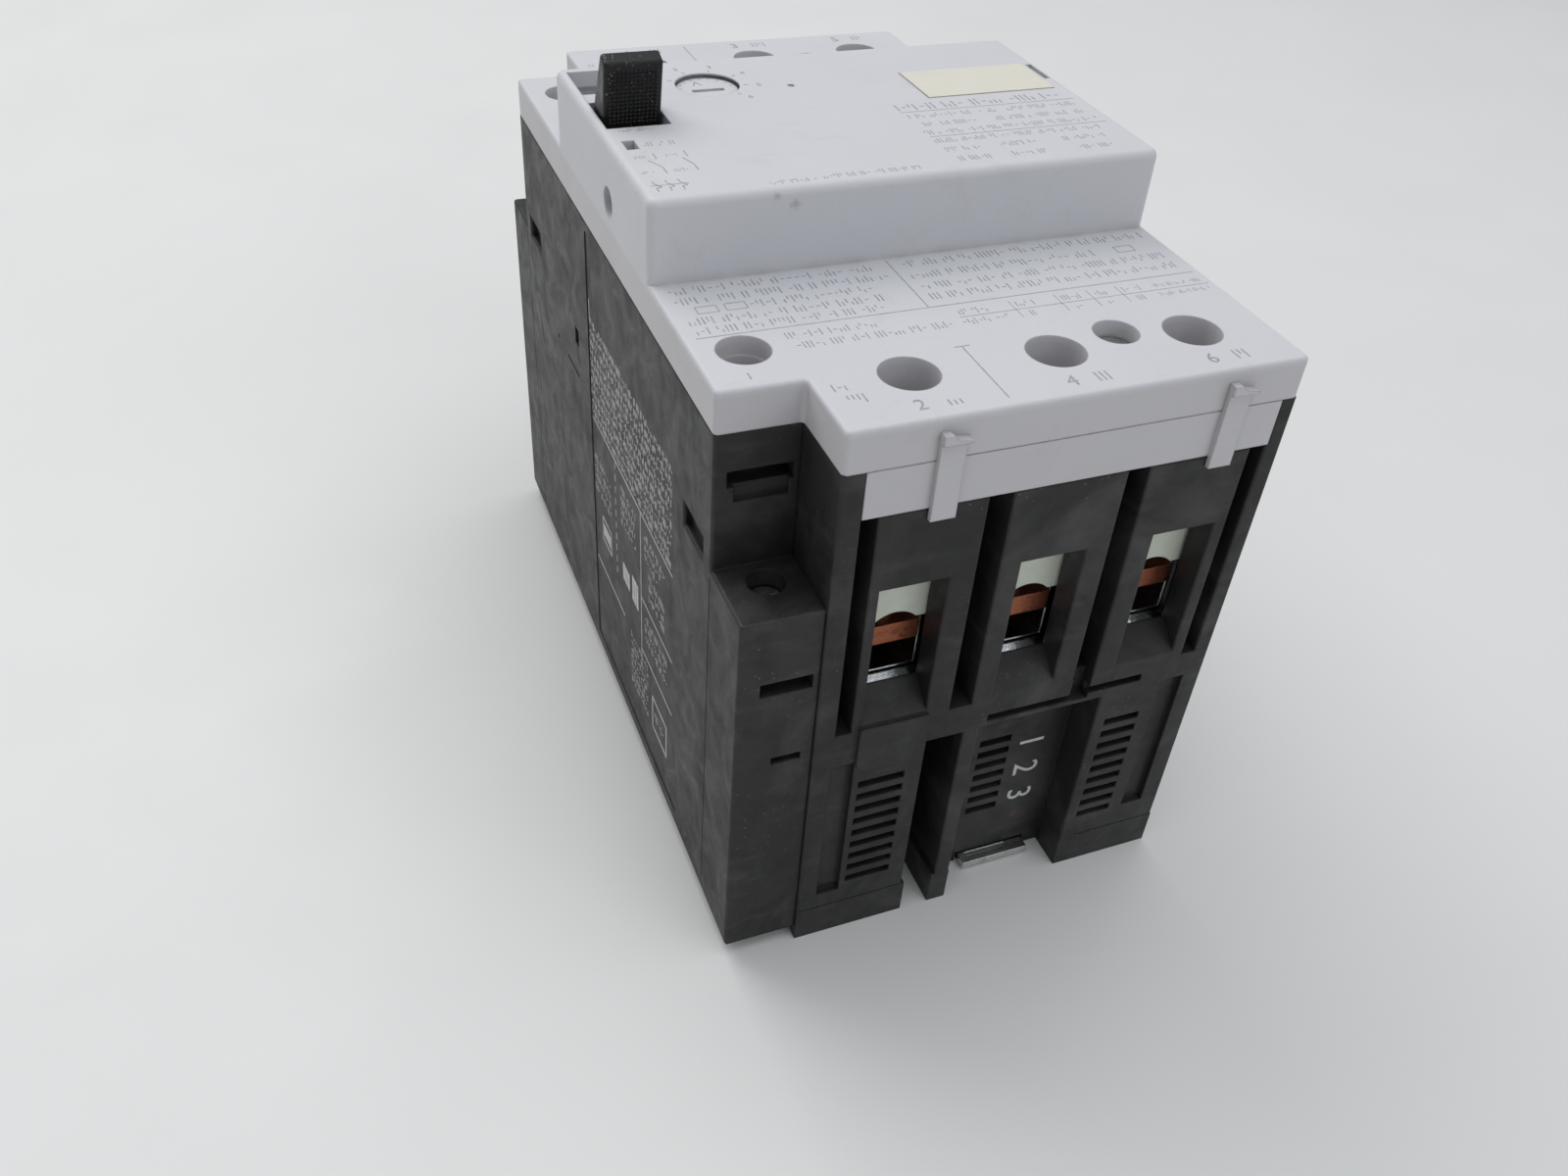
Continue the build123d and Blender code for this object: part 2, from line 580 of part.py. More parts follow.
def crank_place():
    """Crank pin centre in the Y-Z plane, switched off."""
    lean = math.radians(THROW / 2)
    return PIVOT_Y - CRANK_R * math.cos(lean), PIVOT_Z - CRANK_R * math.sin(lean)


def toggle_link():
    """Link from the crank to the riser of the contact carrier."""
    y, z = crank_place()
    foot = z - LINK_LENGTH
    link = box(-28.6, -27.4, y - 1.6, y + 1.6, foot, z)
    link += crosswise(y, z, 2.0, -28.6, -27.4)
    link += crosswise(y, foot, 2.7, -28.6, -27.4)
    link += crosswise(y, z, 1.2, -31.3, -28)
    return link - crosswise(STUD_Y, foot, 1.65, -30, -26)


def mechanism_frame():
    """Steel side plates of the switch lock with their cross strips."""
    plates = []
    for x0, x1 in ((-33.5, -32.7), (-26.3, -25.5)):
        plate = box(x0, x1, -12, 22, 62, 80) + box(x0, x1, 4, 15, 79, 87)
        plate -= crosswise(PIVOT_Y, PIVOT_Z, 1.53, x0 - 1, x1 + 1)
        plates.append(plate)
    frame = joined(plates)
    frame += box(-33.5, -25.5, 10, 22, 61.2, 62)
    frame += box(-33.5, -25.5, -12, -11.2, 66, 78)
    frame -= lengthwise(*TRIP_AXIS, 1.56, -13, -10)
    shelf = box(-33.5, -31, -9.6, -5.4, 83.2, 84) + box(-33.5, -32.7, -9.6, -5.4, 79, 84)
    return frame + (shelf - upright(TEST_STEM_X, TEST_XY[1], 0.75, 80, 85))


def trip_lever():
    """Trip shaft with an arm under the test plunger and a finger on the trip slider."""
    x, z = TRIP_AXIS
    lever = lengthwise(x, z, 1.5, -39, -6)
    lever += box(x - 2.8, x, -8.4, -6, z - 0.6, z + 1.2)
    return lever + box(x - 0.6, x + 0.6, -31.8, -29.8, 67.2, z)


def trip_slider():
    """Slide that the three overload strips push, on its way to the trip lever."""
    slider = box(-28.7, 30, -31.8, -29.8, 66.5, 69)
    for pole in POLES:
        slider += box(pole + 0.9, pole + 2.1, -36, -31, 66.5, 69)
    return slider


def setting_dial():
    """Current setting dial with its screwdriver slot, collar and eccentric."""
    x, y = DIAL_XY
    dial = upright(x, y, DIAL_R - 0.15, 92, DOME_TOP - 0.6) + upright(x, y, 5.4, 93, 95.2)
    dial += upright(x, y, 2.2, 78, 93) + upright(x + 1.2, y, 3.8, 80, 83)
    return dial - box(x - 2.3, x + 2.3, y - 0.95, y - 0.05, DOME_TOP - 1.5, DOME_TOP)


def test_plunger():
    """Test button reached through the square hole."""
    x, y = TEST_XY
    plunger = box(x - 0.6, x + 0.6, y - 1.2, y + 1.2, 90, DOME_TOP - 1.6)
    plunger += box(x - 1.1, x + 1.7, y - 1.5, y + 1.5, 90, 91.2)
    return plunger + upright(TEST_STEM_X, y, 0.5, TRIP_AXIS[1] + 2.1, 90.5)


def test_spring():
    """Return spring of the test button."""
    return coil_spring(TEST_STEM_X, TEST_XY[1], 84.05, 89.95, 0.95, 0.18, 5)


def din_latch():
    """Spring-loaded foot that grips the rail, with its screwdriver tab."""
    x0, x1 = LATCH_X
    foot = box(x0, x1, -49.6, -17.7, 1.1, 4.9) + box(x0, x1, -56.6, -46, 0.4, 1.6)
    foot += side_profile([(-21.4, 0.3), (-16.2, 0.3), (-15.6, 0.8), (-15.6, 1.2), (-21.4, 1.2)], x0, x1)
    foot -= box(7.1, 10.9, -45, -38, 0, 6)
    return foot - box(x0 + 1.1, x0 + 8, -55.7, -54.8, 0, 2)


def housing_screws():
    """Two cover screws and four base screws, all of one size."""
    x, y = COVER_SCREW
    cover_screw = small_screw(x, -y, SEAM - 12, SEAM + 1.4, SEAM + 3.4, r=1.55, head_r=2.6)
    below = []
    for sx, sy in SCREWS_BELOW:
        upside_down = Pos(sx, -sy, 2.4) * Rot(180, 0, 0)
        below.append(upside_down * small_screw(0, 0, -13.4, 0, 2.0, r=1.55, head_r=2.6))
    return Compound(both_ends([cover_screw] + below))


# ---------------------------------------------------------------- all the pieces


def all_parts():
    """Every piece, by name."""
    parts = {
        "base_plate": base_plate(),
        "main_housing": main_housing(),
        "aux_housing": aux_housing(),
        "front_cover": front_cover(),
        "load_terminal_shield": terminal_shield(),
        "line_terminal_shield": line_side(terminal_shield()),
        "rating_label": rating_label(),
        "toggle_handle": toggle_handle(),
        "toggle_shield": toggle_shield(),
        "toggle_pin": toggle_pin(),
        "toggle_link": toggle_link(),
        "mechanism_frame": mechanism_frame(),
        "contact_carrier": contact_carrier(),
        "magnet_yokes": magnet_yokes(),
        "arc_plates": arc_plates(),
        "trip_slider": trip_slider(),
        "trip_lever": trip_lever(),
        "setting_dial": setting_dial(),
        "test_plunger": test_plunger(),
        "test_spring": test_spring(),
        "din_latch": din_latch(),
        "housing_screws": housing_screws(),
        "aux_terminal_plates": aux_terminal_plates(),
    }
    for number, pole in enumerate(POLES, start=1):
        parts[f"load_strap_{number}"] = terminal_strap(pole)
        parts[f"line_strap_{number}"] = line_strap(pole)
        parts[f"load_cage_{number}"] = terminal_cage(pole)
        parts[f"line_cage_{number}"] = line_side(terminal_cage(pole))
        parts[f"load_screw_{number}"] = terminal_screw(pole)
        parts[f"line_screw_{number}"] = line_side(terminal_screw(pole))
        parts[f"magnet_coil_{number}"] = magnet_coil(pole)
        parts[f"magnet_plunger_{number}"] = magnet_plunger(pole)
        parts[f"bimetal_{number}"] = bimetal(pole)
        parts[f"contact_bridge_{number}"] = contact_bridge(pole)
        parts[f"contact_spring_{number}"] = contact_spring(pole)
    upper = small_screw(AUX_UPPER[0], -AUX_UPPER[1], 68.2, 76.6, 78, r=1.0)
    lower = small_screw(AUX_LOWER[0], -AUX_LOWER[1], 50.4, 58.4, 60, r=1.0)
    parts["aux_screw_load_upper"] = upper
    parts["aux_screw_load_lower"] = lower
    parts["aux_screw_line_upper"] = line_side(upper)
    parts["aux_screw_line_lower"] = line_side(lower)
    return parts


for name, part in all_parts().items():
    export_step(part, f"parts/{name}.step")
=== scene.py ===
"""Looks of the three-pole motor protection breaker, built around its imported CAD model.

Places are in millimetres in the part's own frame: Z points out of the face, X runs across the
poles and the load terminals are at -Y. They are turned into metres where a mesh is made.
"""

import json
import math
import random

import bmesh
import bpy
from mathutils import Matrix, Vector


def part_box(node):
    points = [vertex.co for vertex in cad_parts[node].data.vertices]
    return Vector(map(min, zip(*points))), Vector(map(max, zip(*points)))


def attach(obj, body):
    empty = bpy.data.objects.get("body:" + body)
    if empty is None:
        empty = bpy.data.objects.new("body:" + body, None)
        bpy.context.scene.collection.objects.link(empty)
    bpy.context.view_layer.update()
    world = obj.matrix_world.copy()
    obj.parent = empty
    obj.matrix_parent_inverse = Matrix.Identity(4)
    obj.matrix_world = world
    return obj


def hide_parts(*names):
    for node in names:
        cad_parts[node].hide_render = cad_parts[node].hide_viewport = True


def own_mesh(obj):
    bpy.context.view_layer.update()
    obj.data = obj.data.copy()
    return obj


MM = 0.001
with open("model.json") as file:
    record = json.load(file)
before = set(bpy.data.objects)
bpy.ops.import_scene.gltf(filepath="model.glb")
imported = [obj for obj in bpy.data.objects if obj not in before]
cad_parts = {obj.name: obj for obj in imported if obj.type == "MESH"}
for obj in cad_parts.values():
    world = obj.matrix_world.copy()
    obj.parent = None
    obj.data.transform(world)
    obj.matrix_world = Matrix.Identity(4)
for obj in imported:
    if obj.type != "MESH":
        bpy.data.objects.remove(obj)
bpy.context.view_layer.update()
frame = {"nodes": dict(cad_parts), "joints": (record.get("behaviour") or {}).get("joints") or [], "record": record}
nodes = frame["nodes"]

# Places on the part, in millimetres
DOME_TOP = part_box("front_cover")[1].z / MM
DIAL_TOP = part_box("setting_dial")[1].z / MM
TIER_TOP = 87.1  # top of the low tiers at both ends of the cover
LEFT_FACE = -34.85  # floor of the shallow field in the left side
RECESS_FACE = -54.5  # back wall of the recessed panel under the middle terminal
DIAL_AT = (-16.1, 11.2)
TERMINALS = (-12.9, 5.9, 24.7)
FIELD_REAR, FIELD_FRONT = -7.4, 33.6  # ends of the printed field in the left side, towards -Y
CAGE_BLOOM = (54.2, 54.9)  # heights between which the clamp cages turn from bright to pale
SCUFFS = ((-16.6, -23.9, 95.6, 1.3, 0.7), (-19.0, -23.9, 96.9, 1.0, 0.8))
RUST_SPOT = (13.3, RECESS_FACE, 8.0, 1.5, 0.9)
# painted reflection: lighter patches on the right of the charcoal front face
FRONT_REFLECTION_SPOTS = ((25, -60, 66, 10, 0.9), (34, -58, 47, 6, 0.9))

# Prints
PRINT_SINK, PRINT_PROUD = 0.03, 0.02  # how far a print reaches below and above its face
FINE, RULE, SYMBOL = 0.11, 0.13, 0.16  # widths of printed strokes
TICK_PITCH, TICK_WEIGHT = 0.36, 0.11  # as shares of a tick's height
TYPE_SCALE = 1.4  # from the height of a number to the size of its typeface

# Toggle grip, as in the part's upright frame of the toggle
TOGGLE_LEAN = 15  # degrees, at rest
KNURL_X = (-32.8, -26.2)
KNURL_FOOT, KNURL_TOP = (0, -3.73, 15.9), (0, -2.93, 23.3)
KNURL_ACROSS, KNURL_UPWARD = 12, 14
KNURL_BASE, KNURL_SINK = 0.02, -0.12

# Studio, in metres
FLOOR_HALF = 3.0
AIM = (0, 0, 0.05)
CAMERA_AT = Vector((-76.449, -164.942, 162.798)) * MM
CAMERA_RIGHT = Vector((0.93196, -0.35783, 0.05833))
CAMERA_UP = Vector((0.1873, 0.6131, 0.7675))
CAMERA_BACK = Vector((-0.31040, -0.70436, 0.63838))
CAMERA_LENS, CAMERA_SENSOR = 30.69, 36.0


# ---------------------------------------------------------------- materials


class Graph:
    """A material's node tree, written as short expressions."""

    def __init__(self, name):
        self.material = bpy.data.materials.new(name)
        self.material.use_nodes = True
        self.tree = self.material.node_tree
        self.shader = self.tree.nodes["Principled BSDF"]
        self.place = self.node("ShaderNodeTexCoord").outputs["Object"]

    def node(self, kind, inputs=(), **settings):
        made = self.tree.nodes.new(kind)
        for key, value in settings.items():
            setattr(made, key, value)
        for key, value in dict(inputs).items():
            self.feed(made.inputs[key], value)
        return made

    def feed(self, socket, value):
        if isinstance(value, bpy.types.NodeSocket):
            self.tree.links.new(value, socket)
        else:
            socket.default_value = value

    def math(self, operation, a, b=0.0, clamp=False):
        made = self.node("ShaderNodeMath", operation=operation, use_clamp=clamp)
        self.feed(made.inputs[0], a)
        self.feed(made.inputs[1], b)
        return made.outputs[0]

    def stretched(self, x, y, z):
        """The object coordinates, scaled along each axis."""
        inputs = {"Vector": self.place, "Scale": (x, y, z)}
        return self.node("ShaderNodeMapping", inputs).outputs[0]

    def noise(self, size, detail=3.0, rough=0.5, distortion=0.0, place=None):
        """Noise whose features are about this many millimetres."""
        inputs = {
            "Vector": place or self.place,
            "Scale": 1 / (size * MM),
            "Detail": detail,
            "Roughness": rough,
            "Distortion": distortion,
        }
        return self.node("ShaderNodeTexNoise", inputs).outputs["Fac"]

    def cells(self, size, place=None, feature="F1"):
        """Distance to the nearest of scattered points, about this many millimetres apart."""
        inputs = {"Vector": place or self.place, "Scale": 1 / (size * MM)}
        return self.node("ShaderNodeTexVoronoi", inputs, feature=feature).outputs["Distance"]

    def remap(self, value, low, high, to_low=0.0, to_high=1.0):
        """Stretches low..high of a value to to_low..to_high, and holds it there."""
        made = self.node("ShaderNodeMapRange", {"Value": value}, clamp=True)
        limits = {"From Min": low, "From Max": high, "To Min": to_low, "To Max": to_high}
        for key, number in limits.items():
            self.feed(made.inputs[key], number)
        return made.outputs[0]

    def mix(self, factor, a, b, blend="MIX"):
        """Mixes two colours."""
        made = self.node("ShaderNodeMix", data_type="RGBA", blend_type=blend)
        self.feed(made.inputs[0], factor)
        for socket, value in zip(made.inputs[6:8], (a, b)):
            self.feed(socket, value if isinstance(value, bpy.types.NodeSocket) else (*value, 1))
        return made.outputs[2]

    def axis(self, letter):
        return self.node("ShaderNodeSeparateXYZ", {"Vector": self.place}).outputs[letter]

    def spot(self, x, y, z, radius, ragged=0.5):
        """1 near a place in millimetres, fading to 0 at a ragged edge."""
        inputs = {0: self.place, 1: (x * MM, y * MM, z * MM)}
        away = self.node("ShaderNodeVectorMath", inputs, operation="DISTANCE").outputs["Value"]
        wobble = self.math("MULTIPLY", self.noise(radius * 0.6, 4), radius * MM * ragged)
        return self.remap(self.math("ADD", away, wobble), radius * MM * 0.4, radius * MM * 1.1, 1, 0)

    def occlusion_shade(self, reach):
        """1 deep in corners and gaps, 0 on open faces: an ambient occlusion mask used to paint shade."""
        inputs = {"Distance": reach * MM}
        shade = self.node("ShaderNodeAmbientOcclusion", inputs, samples=6).outputs["AO"]
        return self.remap(shade, 0.35, 0.9, 1, 0)

    def finish(self, colour, roughness, bumps=(), edge=0.0, metallic=0.0, specular=0.5):
        """Connects the surface. bumps are (height, depth in millimetres) pairs; edge rounds corners."""
        self.feed(self.shader.inputs["Base Color"], colour)
        self.feed(self.shader.inputs["Roughness"], roughness)
        self.shader.inputs["Metallic"].default_value = metallic
        self.shader.inputs["Specular IOR Level"].default_value = specular
        normal = None
        if edge:
            normal = self.node("ShaderNodeBevel", {"Radius": edge * MM}, samples=4).outputs[0]
        for height, depth in bumps:
            bump = self.node("ShaderNodeBump", {"Height": height, "Distance": depth * MM})
            if normal:
                self.feed(bump.inputs["Normal"], normal)
            normal = bump.outputs[0]
        if normal:
            self.feed(self.shader.inputs["Normal"], normal)
        return self.material


def cover_plastic():
    """Light grey satin moulding with an eroded grain, faint clouding and a scuff, grime mixed with painted shade
    in corners and gaps, and painted shade on the faces below the tier tops.
    """
    g = Graph("cover_grey")
    base = g.mix(g.noise(26, 4), (0.600, 0.603, 0.640), (0.655, 0.655, 0.685))
    warm = g.remap(g.noise(48, 2, place=g.stretched(1, 1, 1.6)), 0.5, 0.72, 0, 0.5)
    base = g.mix(warm, base, (0.64, 0.63, 0.635))
    # painted shade: the cover's faces below the tier tops are made darker
    low_faces_shade = g.remap(g.axis("Z"), (TIER_TOP - 0.3) * MM, (TIER_TOP - 1.1) * MM, 0, 0.7)
    base = g.mix(low_faces_shade, base, (0.545, 0.53, 0.54))
    speck = g.remap(g.noise(0.5, 2), 0.66, 0.74, 0, 0.25)
    base = g.mix(speck, base, (0.45, 0.45, 0.47))
    # painted shade in corners and gaps from ambient occlusion, broken up by noise as grime
    crevice_shade_and_grime = g.math("MULTIPLY", g.occlusion_shade(1.6), g.remap(g.noise(3.5, 5), 0.25, 0.7, 0.1, 0.55))
    base = g.mix(crevice_shade_and_grime, base, (0.30, 0.29, 0.285))
    scuff = g.math("MAXIMUM", g.spot(*SCUFFS[0]), g.spot(*SCUFFS[1]))
    scuff = g.math("MULTIPLY", scuff, g.remap(g.noise(0.6, 3), 0.35, 0.55))
    base = g.mix(g.math("MULTIPLY", scuff, 0.7), base, (0.30, 0.27, 0.26))
    dirt = g.math("MULTIPLY", g.remap(g.noise(7, 6, 0.65, 1.2), 0.58, 0.72), 0.14)
    base = g.mix(dirt, base, (0.42, 0.40, 0.39))
    roughness = g.remap(g.noise(9, 4), 0.3, 0.7, 0.42, 0.54)
    grain = g.noise(0.32, 2)
    waves = g.noise(14, 2)
    return g.finish(base, roughness, ((waves, 0.03), (grain, 0.012)), edge=0.35, specular=0.45)


def housing_plastic():
    """Charcoal glass-filled moulding: flow marks, handling smudges, dust and fine erosion, with painted reflection
    on the right of the front face and painted shade in corners and gaps.
    """
    g = Graph("housing_black")
    base = g.mix(g.noise(30, 3), (0.011, 0.0108, 0.0108), (0.020, 0.0196, 0.0195))
    flow_place = g.stretched(1.0, 1.0, 0.22)
    flow = g.remap(g.noise(9, 5, 0.55, 0.5, place=flow_place), 0.46, 0.72, 0, 0.5)
    base = g.mix(flow, base, (0.046, 0.0455, 0.0455))
    smear = g.remap(g.noise(20, 7, 0.62, 0.7), 0.5, 0.72, 0, 0.6)
    base = g.mix(smear, base, (0.084, 0.083, 0.083))
    # painted reflection: lighter patches on the right of the front face
    front_reflection = g.math("MAXIMUM", g.spot(*FRONT_REFLECTION_SPOTS[0]), g.spot(*FRONT_REFLECTION_SPOTS[1]))
    base = g.mix(g.math("MULTIPLY", front_reflection, 0.5), base, (0.062, 0.061, 0.061))
    wipe_place = g.stretched(0.3, 0.3, 1.0)
    wipe = g.remap(g.noise(3.0, 4, 0.55, 0.2, place=wipe_place), 0.56, 0.8, 0, 0.3)
    base = g.mix(wipe, base, (0.10, 0.10, 0.10))
    dust = g.math("MULTIPLY", g.remap(g.cells(1.1), 0.16, 0.05), g.remap(g.noise(11, 3), 0.5, 0.66))
    base = g.mix(g.math("MULTIPLY", dust, 0.35), base, (0.28, 0.27, 0.26))
    # painted shade: darker in corners and gaps, from ambient occlusion
    base = g.mix(g.math("MULTIPLY", g.occlusion_shade(1.8), 0.6), base, (0.012, 0.012, 0.013))
    rust = g.math("MULTIPLY", g.spot(*RUST_SPOT), 0.55)
    base = g.mix(rust, base, (0.20, 0.085, 0.045))
    roughness = g.remap(g.noise(5, 5, 0.6, 1.0), 0.3, 0.7, 0.40, 0.62)
    grain = g.noise(0.22, 3, 0.6)
    waves = g.noise(8, 3, place=flow_place)
    return g.finish(base, roughness, ((waves, 0.05), (grain, 0.02)), edge=0.3, specular=0.36)


def toggle_plastic():
    """Near-black nylon, a little glossy where fingers polish it, with pale dust in the grain."""
    g = Graph("toggle_black")
    base = g.mix(g.noise(4, 4), (0.009, 0.009, 0.0095), (0.017, 0.017, 0.018))
    dust = g.math("MULTIPLY", g.remap(g.cells(0.5), 0.24, 0.1), g.remap(g.noise(1.5, 3), 0.46, 0.6))
    base = g.mix(g.math("MULTIPLY", dust, 0.8), base, (0.34, 0.33, 0.30))
    roughness = g.remap(g.noise(1.8, 4), 0.3, 0.7, 0.28, 0.5)
    return g.finish(base, roughness, ((g.noise(0.3, 3), 0.03),), edge=0.25, specular=0.28)


def label_plate():
    """Cream plastic plate, matt and faintly fibrous, with painted shade darkening its rim."""
    g = Graph("label_cream")
    base = g.mix(g.noise(6, 4), (0.735, 0.715, 0.635), (0.69, 0.665, 0.575))
    fibre = g.noise(1.1, 4, 0.6, place=g.stretched(0.3, 1.6, 1))
    base = g.mix(g.remap(fibre, 0.45, 0.7, 0, 0.3), base, (0.645, 0.615, 0.51))
    # painted shade: darker and browner in the gaps at the plate's rim, from ambient occlusion
    base = g.mix(g.math("MULTIPLY", g.occlusion_shade(0.9), 0.5), base, (0.45, 0.41, 0.32))
    roughness = g.remap(g.noise(2, 3), 0.3, 0.7, 0.5, 0.66)
    return g.finish(base, roughness, ((fibre, 0.01),), edge=0.1, specular=0.35)


def inner_moulding():
    """Dark brown-grey thermoset of the inner mechanism."""
    g = Graph("inner_plastic")
    base = g.mix(g.noise(5, 5), (0.075, 0.072, 0.070), (0.12, 0.115, 0.11))
    base = g.mix(g.remap(g.noise(0.5, 2), 0.6, 0.72, 0, 0.4), base, (0.20, 0.19, 0.175))
    roughness = g.remap(g.noise(1.5, 3), 0.3, 0.7, 0.4, 0.6)
    return g.finish(base, roughness, ((g.noise(0.25, 2), 0.015),), edge=0.2)


def copper_bar():
    """Rolled copper bar, dulled in patches, with sheared edges and draw lines."""
    g = Graph("copper")
    base = g.mix(g.noise(2.4, 5, 0.6, 0.8), (0.40, 0.150, 0.080), (0.30, 0.100, 0.055))
    oxide = g.remap(g.noise(1.3, 5, 0.6, 1.4), 0.5, 0.68, 0, 0.75)
    base = g.mix(oxide, base, (0.12, 0.042, 0.028))
    draw = g.noise(0.5, 4, 0.6, place=g.stretched(1.0, 0.06, 1.0))
    roughness = g.math("ADD", g.remap(draw, 0.3, 0.7, 0.26, 0.44), g.math("MULTIPLY", oxide, 0.25))
    return g.finish(base, roughness, ((draw, 0.02), (g.noise(1.2, 3), 0.03)), edge=0.25, metallic=1.0)


def bright_plating(name, tint, worn, roughness_range):
    """Zinc-plated steel: brushed, with faint crystals, tiny pits and wear."""
    g = Graph(name)
    brushed = g.noise(0.45, 5, 0.65, place=g.stretched(0.05, 1.0, 1.0))
    base = g.mix(g.remap(g.cells(0.9), 0.1, 0.7, 0, 0.5), tint, worn)
    base = g.mix(g.remap(g.noise(1.4, 4), 0.52, 0.7, 0, 0.5), base, tuple(c * 0.55 for c in worn))
    low, high = roughness_range
    roughness = g.remap(brushed, 0.3, 0.7, low, high)
    pits = g.remap(g.cells(0.4), 0.12, 0.05)
    return g.finish(base, roughness, ((brushed, 0.012), (pits, 0.01)), edge=0.25, metallic=1.0)


def clamp_plating():
    """Clamp cage: bright steel below, pale chromate bloom on the skirt above the bar."""
    g = Graph("clamp_plating")
    height = g.math("ADD", g.axis("Z"), g.math("MULTIPLY", g.noise(1.0, 3), 0.0005))
    bloom = g.remap(height, CAGE_BLOOM[0] * MM, CAGE_BLOOM[1] * MM)
    steel = g.mix(g.noise(0.6, 4), (0.93, 0.95, 0.97), (0.60, 0.62, 0.64))
    pale = g.mix(g.noise(1.8, 4), (0.80, 0.84, 0.73), (0.68, 0.72, 0.61))
    base = g.mix(bloom, steel, pale)
    streak = g.noise(0.5, 4, 0.6, place=g.stretched(1.0, 1.0, 0.1))
    roughness = g.math("ADD", g.remap(streak, 0.3, 0.7, 0.10, 0.22), g.math("MULTIPLY", bloom, 0.42))
    material = g.finish(base, roughness, ((streak, 0.02), (g.noise(0.6, 3), 0.012)), edge=0.3)
    g.feed(g.shader.inputs["Metallic"], g.remap(bloom, 0, 1, 1.0, 0.0))
    return material


def brass():
    """Tapped brass, lightly tarnished."""
    g = Graph("brass_plate")
    base = g.mix(g.noise(1.8, 4), (0.72, 0.55, 0.25), (0.55, 0.40, 0.17))
    base = g.mix(g.remap(g.noise(0.8, 4), 0.55, 0.7, 0, 0.5), base, (0.28, 0.19, 0.09))
    roughness = g.remap(g.noise(0.6, 3), 0.3, 0.7, 0.28, 0.42)
    return g.finish(base, roughness, ((g.noise(0.3, 3), 0.012),), edge=0.2, metallic=1.0)


def printing_ink(name, colour, faded, broken):
    """Pad-printed ink, uneven in strength, with small breaks where it has worn off."""
    g = Graph(name)
    base = g.mix(g.remap(g.noise(1.4, 4), 0.35, 0.7, 0, 0.6), colour, faded)
    base = g.mix(g.remap(g.noise(0.35, 3), 0.52, 0.66, 0, broken), base, faded)
    roughness = g.remap(g.noise(0.8, 2), 0.3, 0.7, 0.45, 0.6)
    return g.finish(base, roughness, ((g.noise(0.2, 2), 0.004),))


def floor_paint():
    """Plain pale bench top with the slightest clouding."""
    g = Graph("floor_paint")
    base = g.mix(g.noise(90, 4), (0.74, 0.74, 0.735), (0.79, 0.79, 0.785))
    roughness = g.remap(g.noise(30, 4), 0.3, 0.7, 0.38, 0.5)
    return g.finish(base, roughness, ((g.noise(6, 3), 0.03),), specular=0.4)


MATERIALS = {
    "housing_black": housing_plastic(),
    "cover_grey": cover_plastic(),
    "label_cream": label_plate(),
    "toggle_black": toggle_plastic(),
    "inner_plastic": inner_moulding(),
    "copper": copper_bar(),
    "plated_steel": bright_plating(
        "plated_steel", (0.66, 0.67, 0.66), (0.52, 0.53, 0.50), (0.18, 0.34)
    ),
    "spring_steel": bright_plating(
        "spring_steel", (0.42, 0.42, 0.43), (0.32, 0.31, 0.30), (0.22, 0.38)
    ),
    "brass_plate": brass(),
}
CLAMP = clamp_plating()
DARK_INK = printing_ink("cover_ink", (0.29, 0.295, 0.32), (0.46, 0.465, 0.49), 0.5)
PALE_INK = printing_ink("side_ink", (0.70, 0.70, 0.67), (0.40, 0.40, 0.38), 0.5)


def paint(thing, material):
    thing.data.materials.clear()
    thing.data.materials.append(material)


def finish_cad_nodes():
    """Gives every CAD node the material of its slot, except the clamp cages, which get the clamp plating."""
    slots = {part["node"]: part["material_slot"] for part in frame["record"]["subparts"]}
    for name, thing in nodes.items():
        paint(thing, CLAMP if "_cage_" in name else MATERIALS[slots[name]])


# ---------------------------------------------------------------- prints


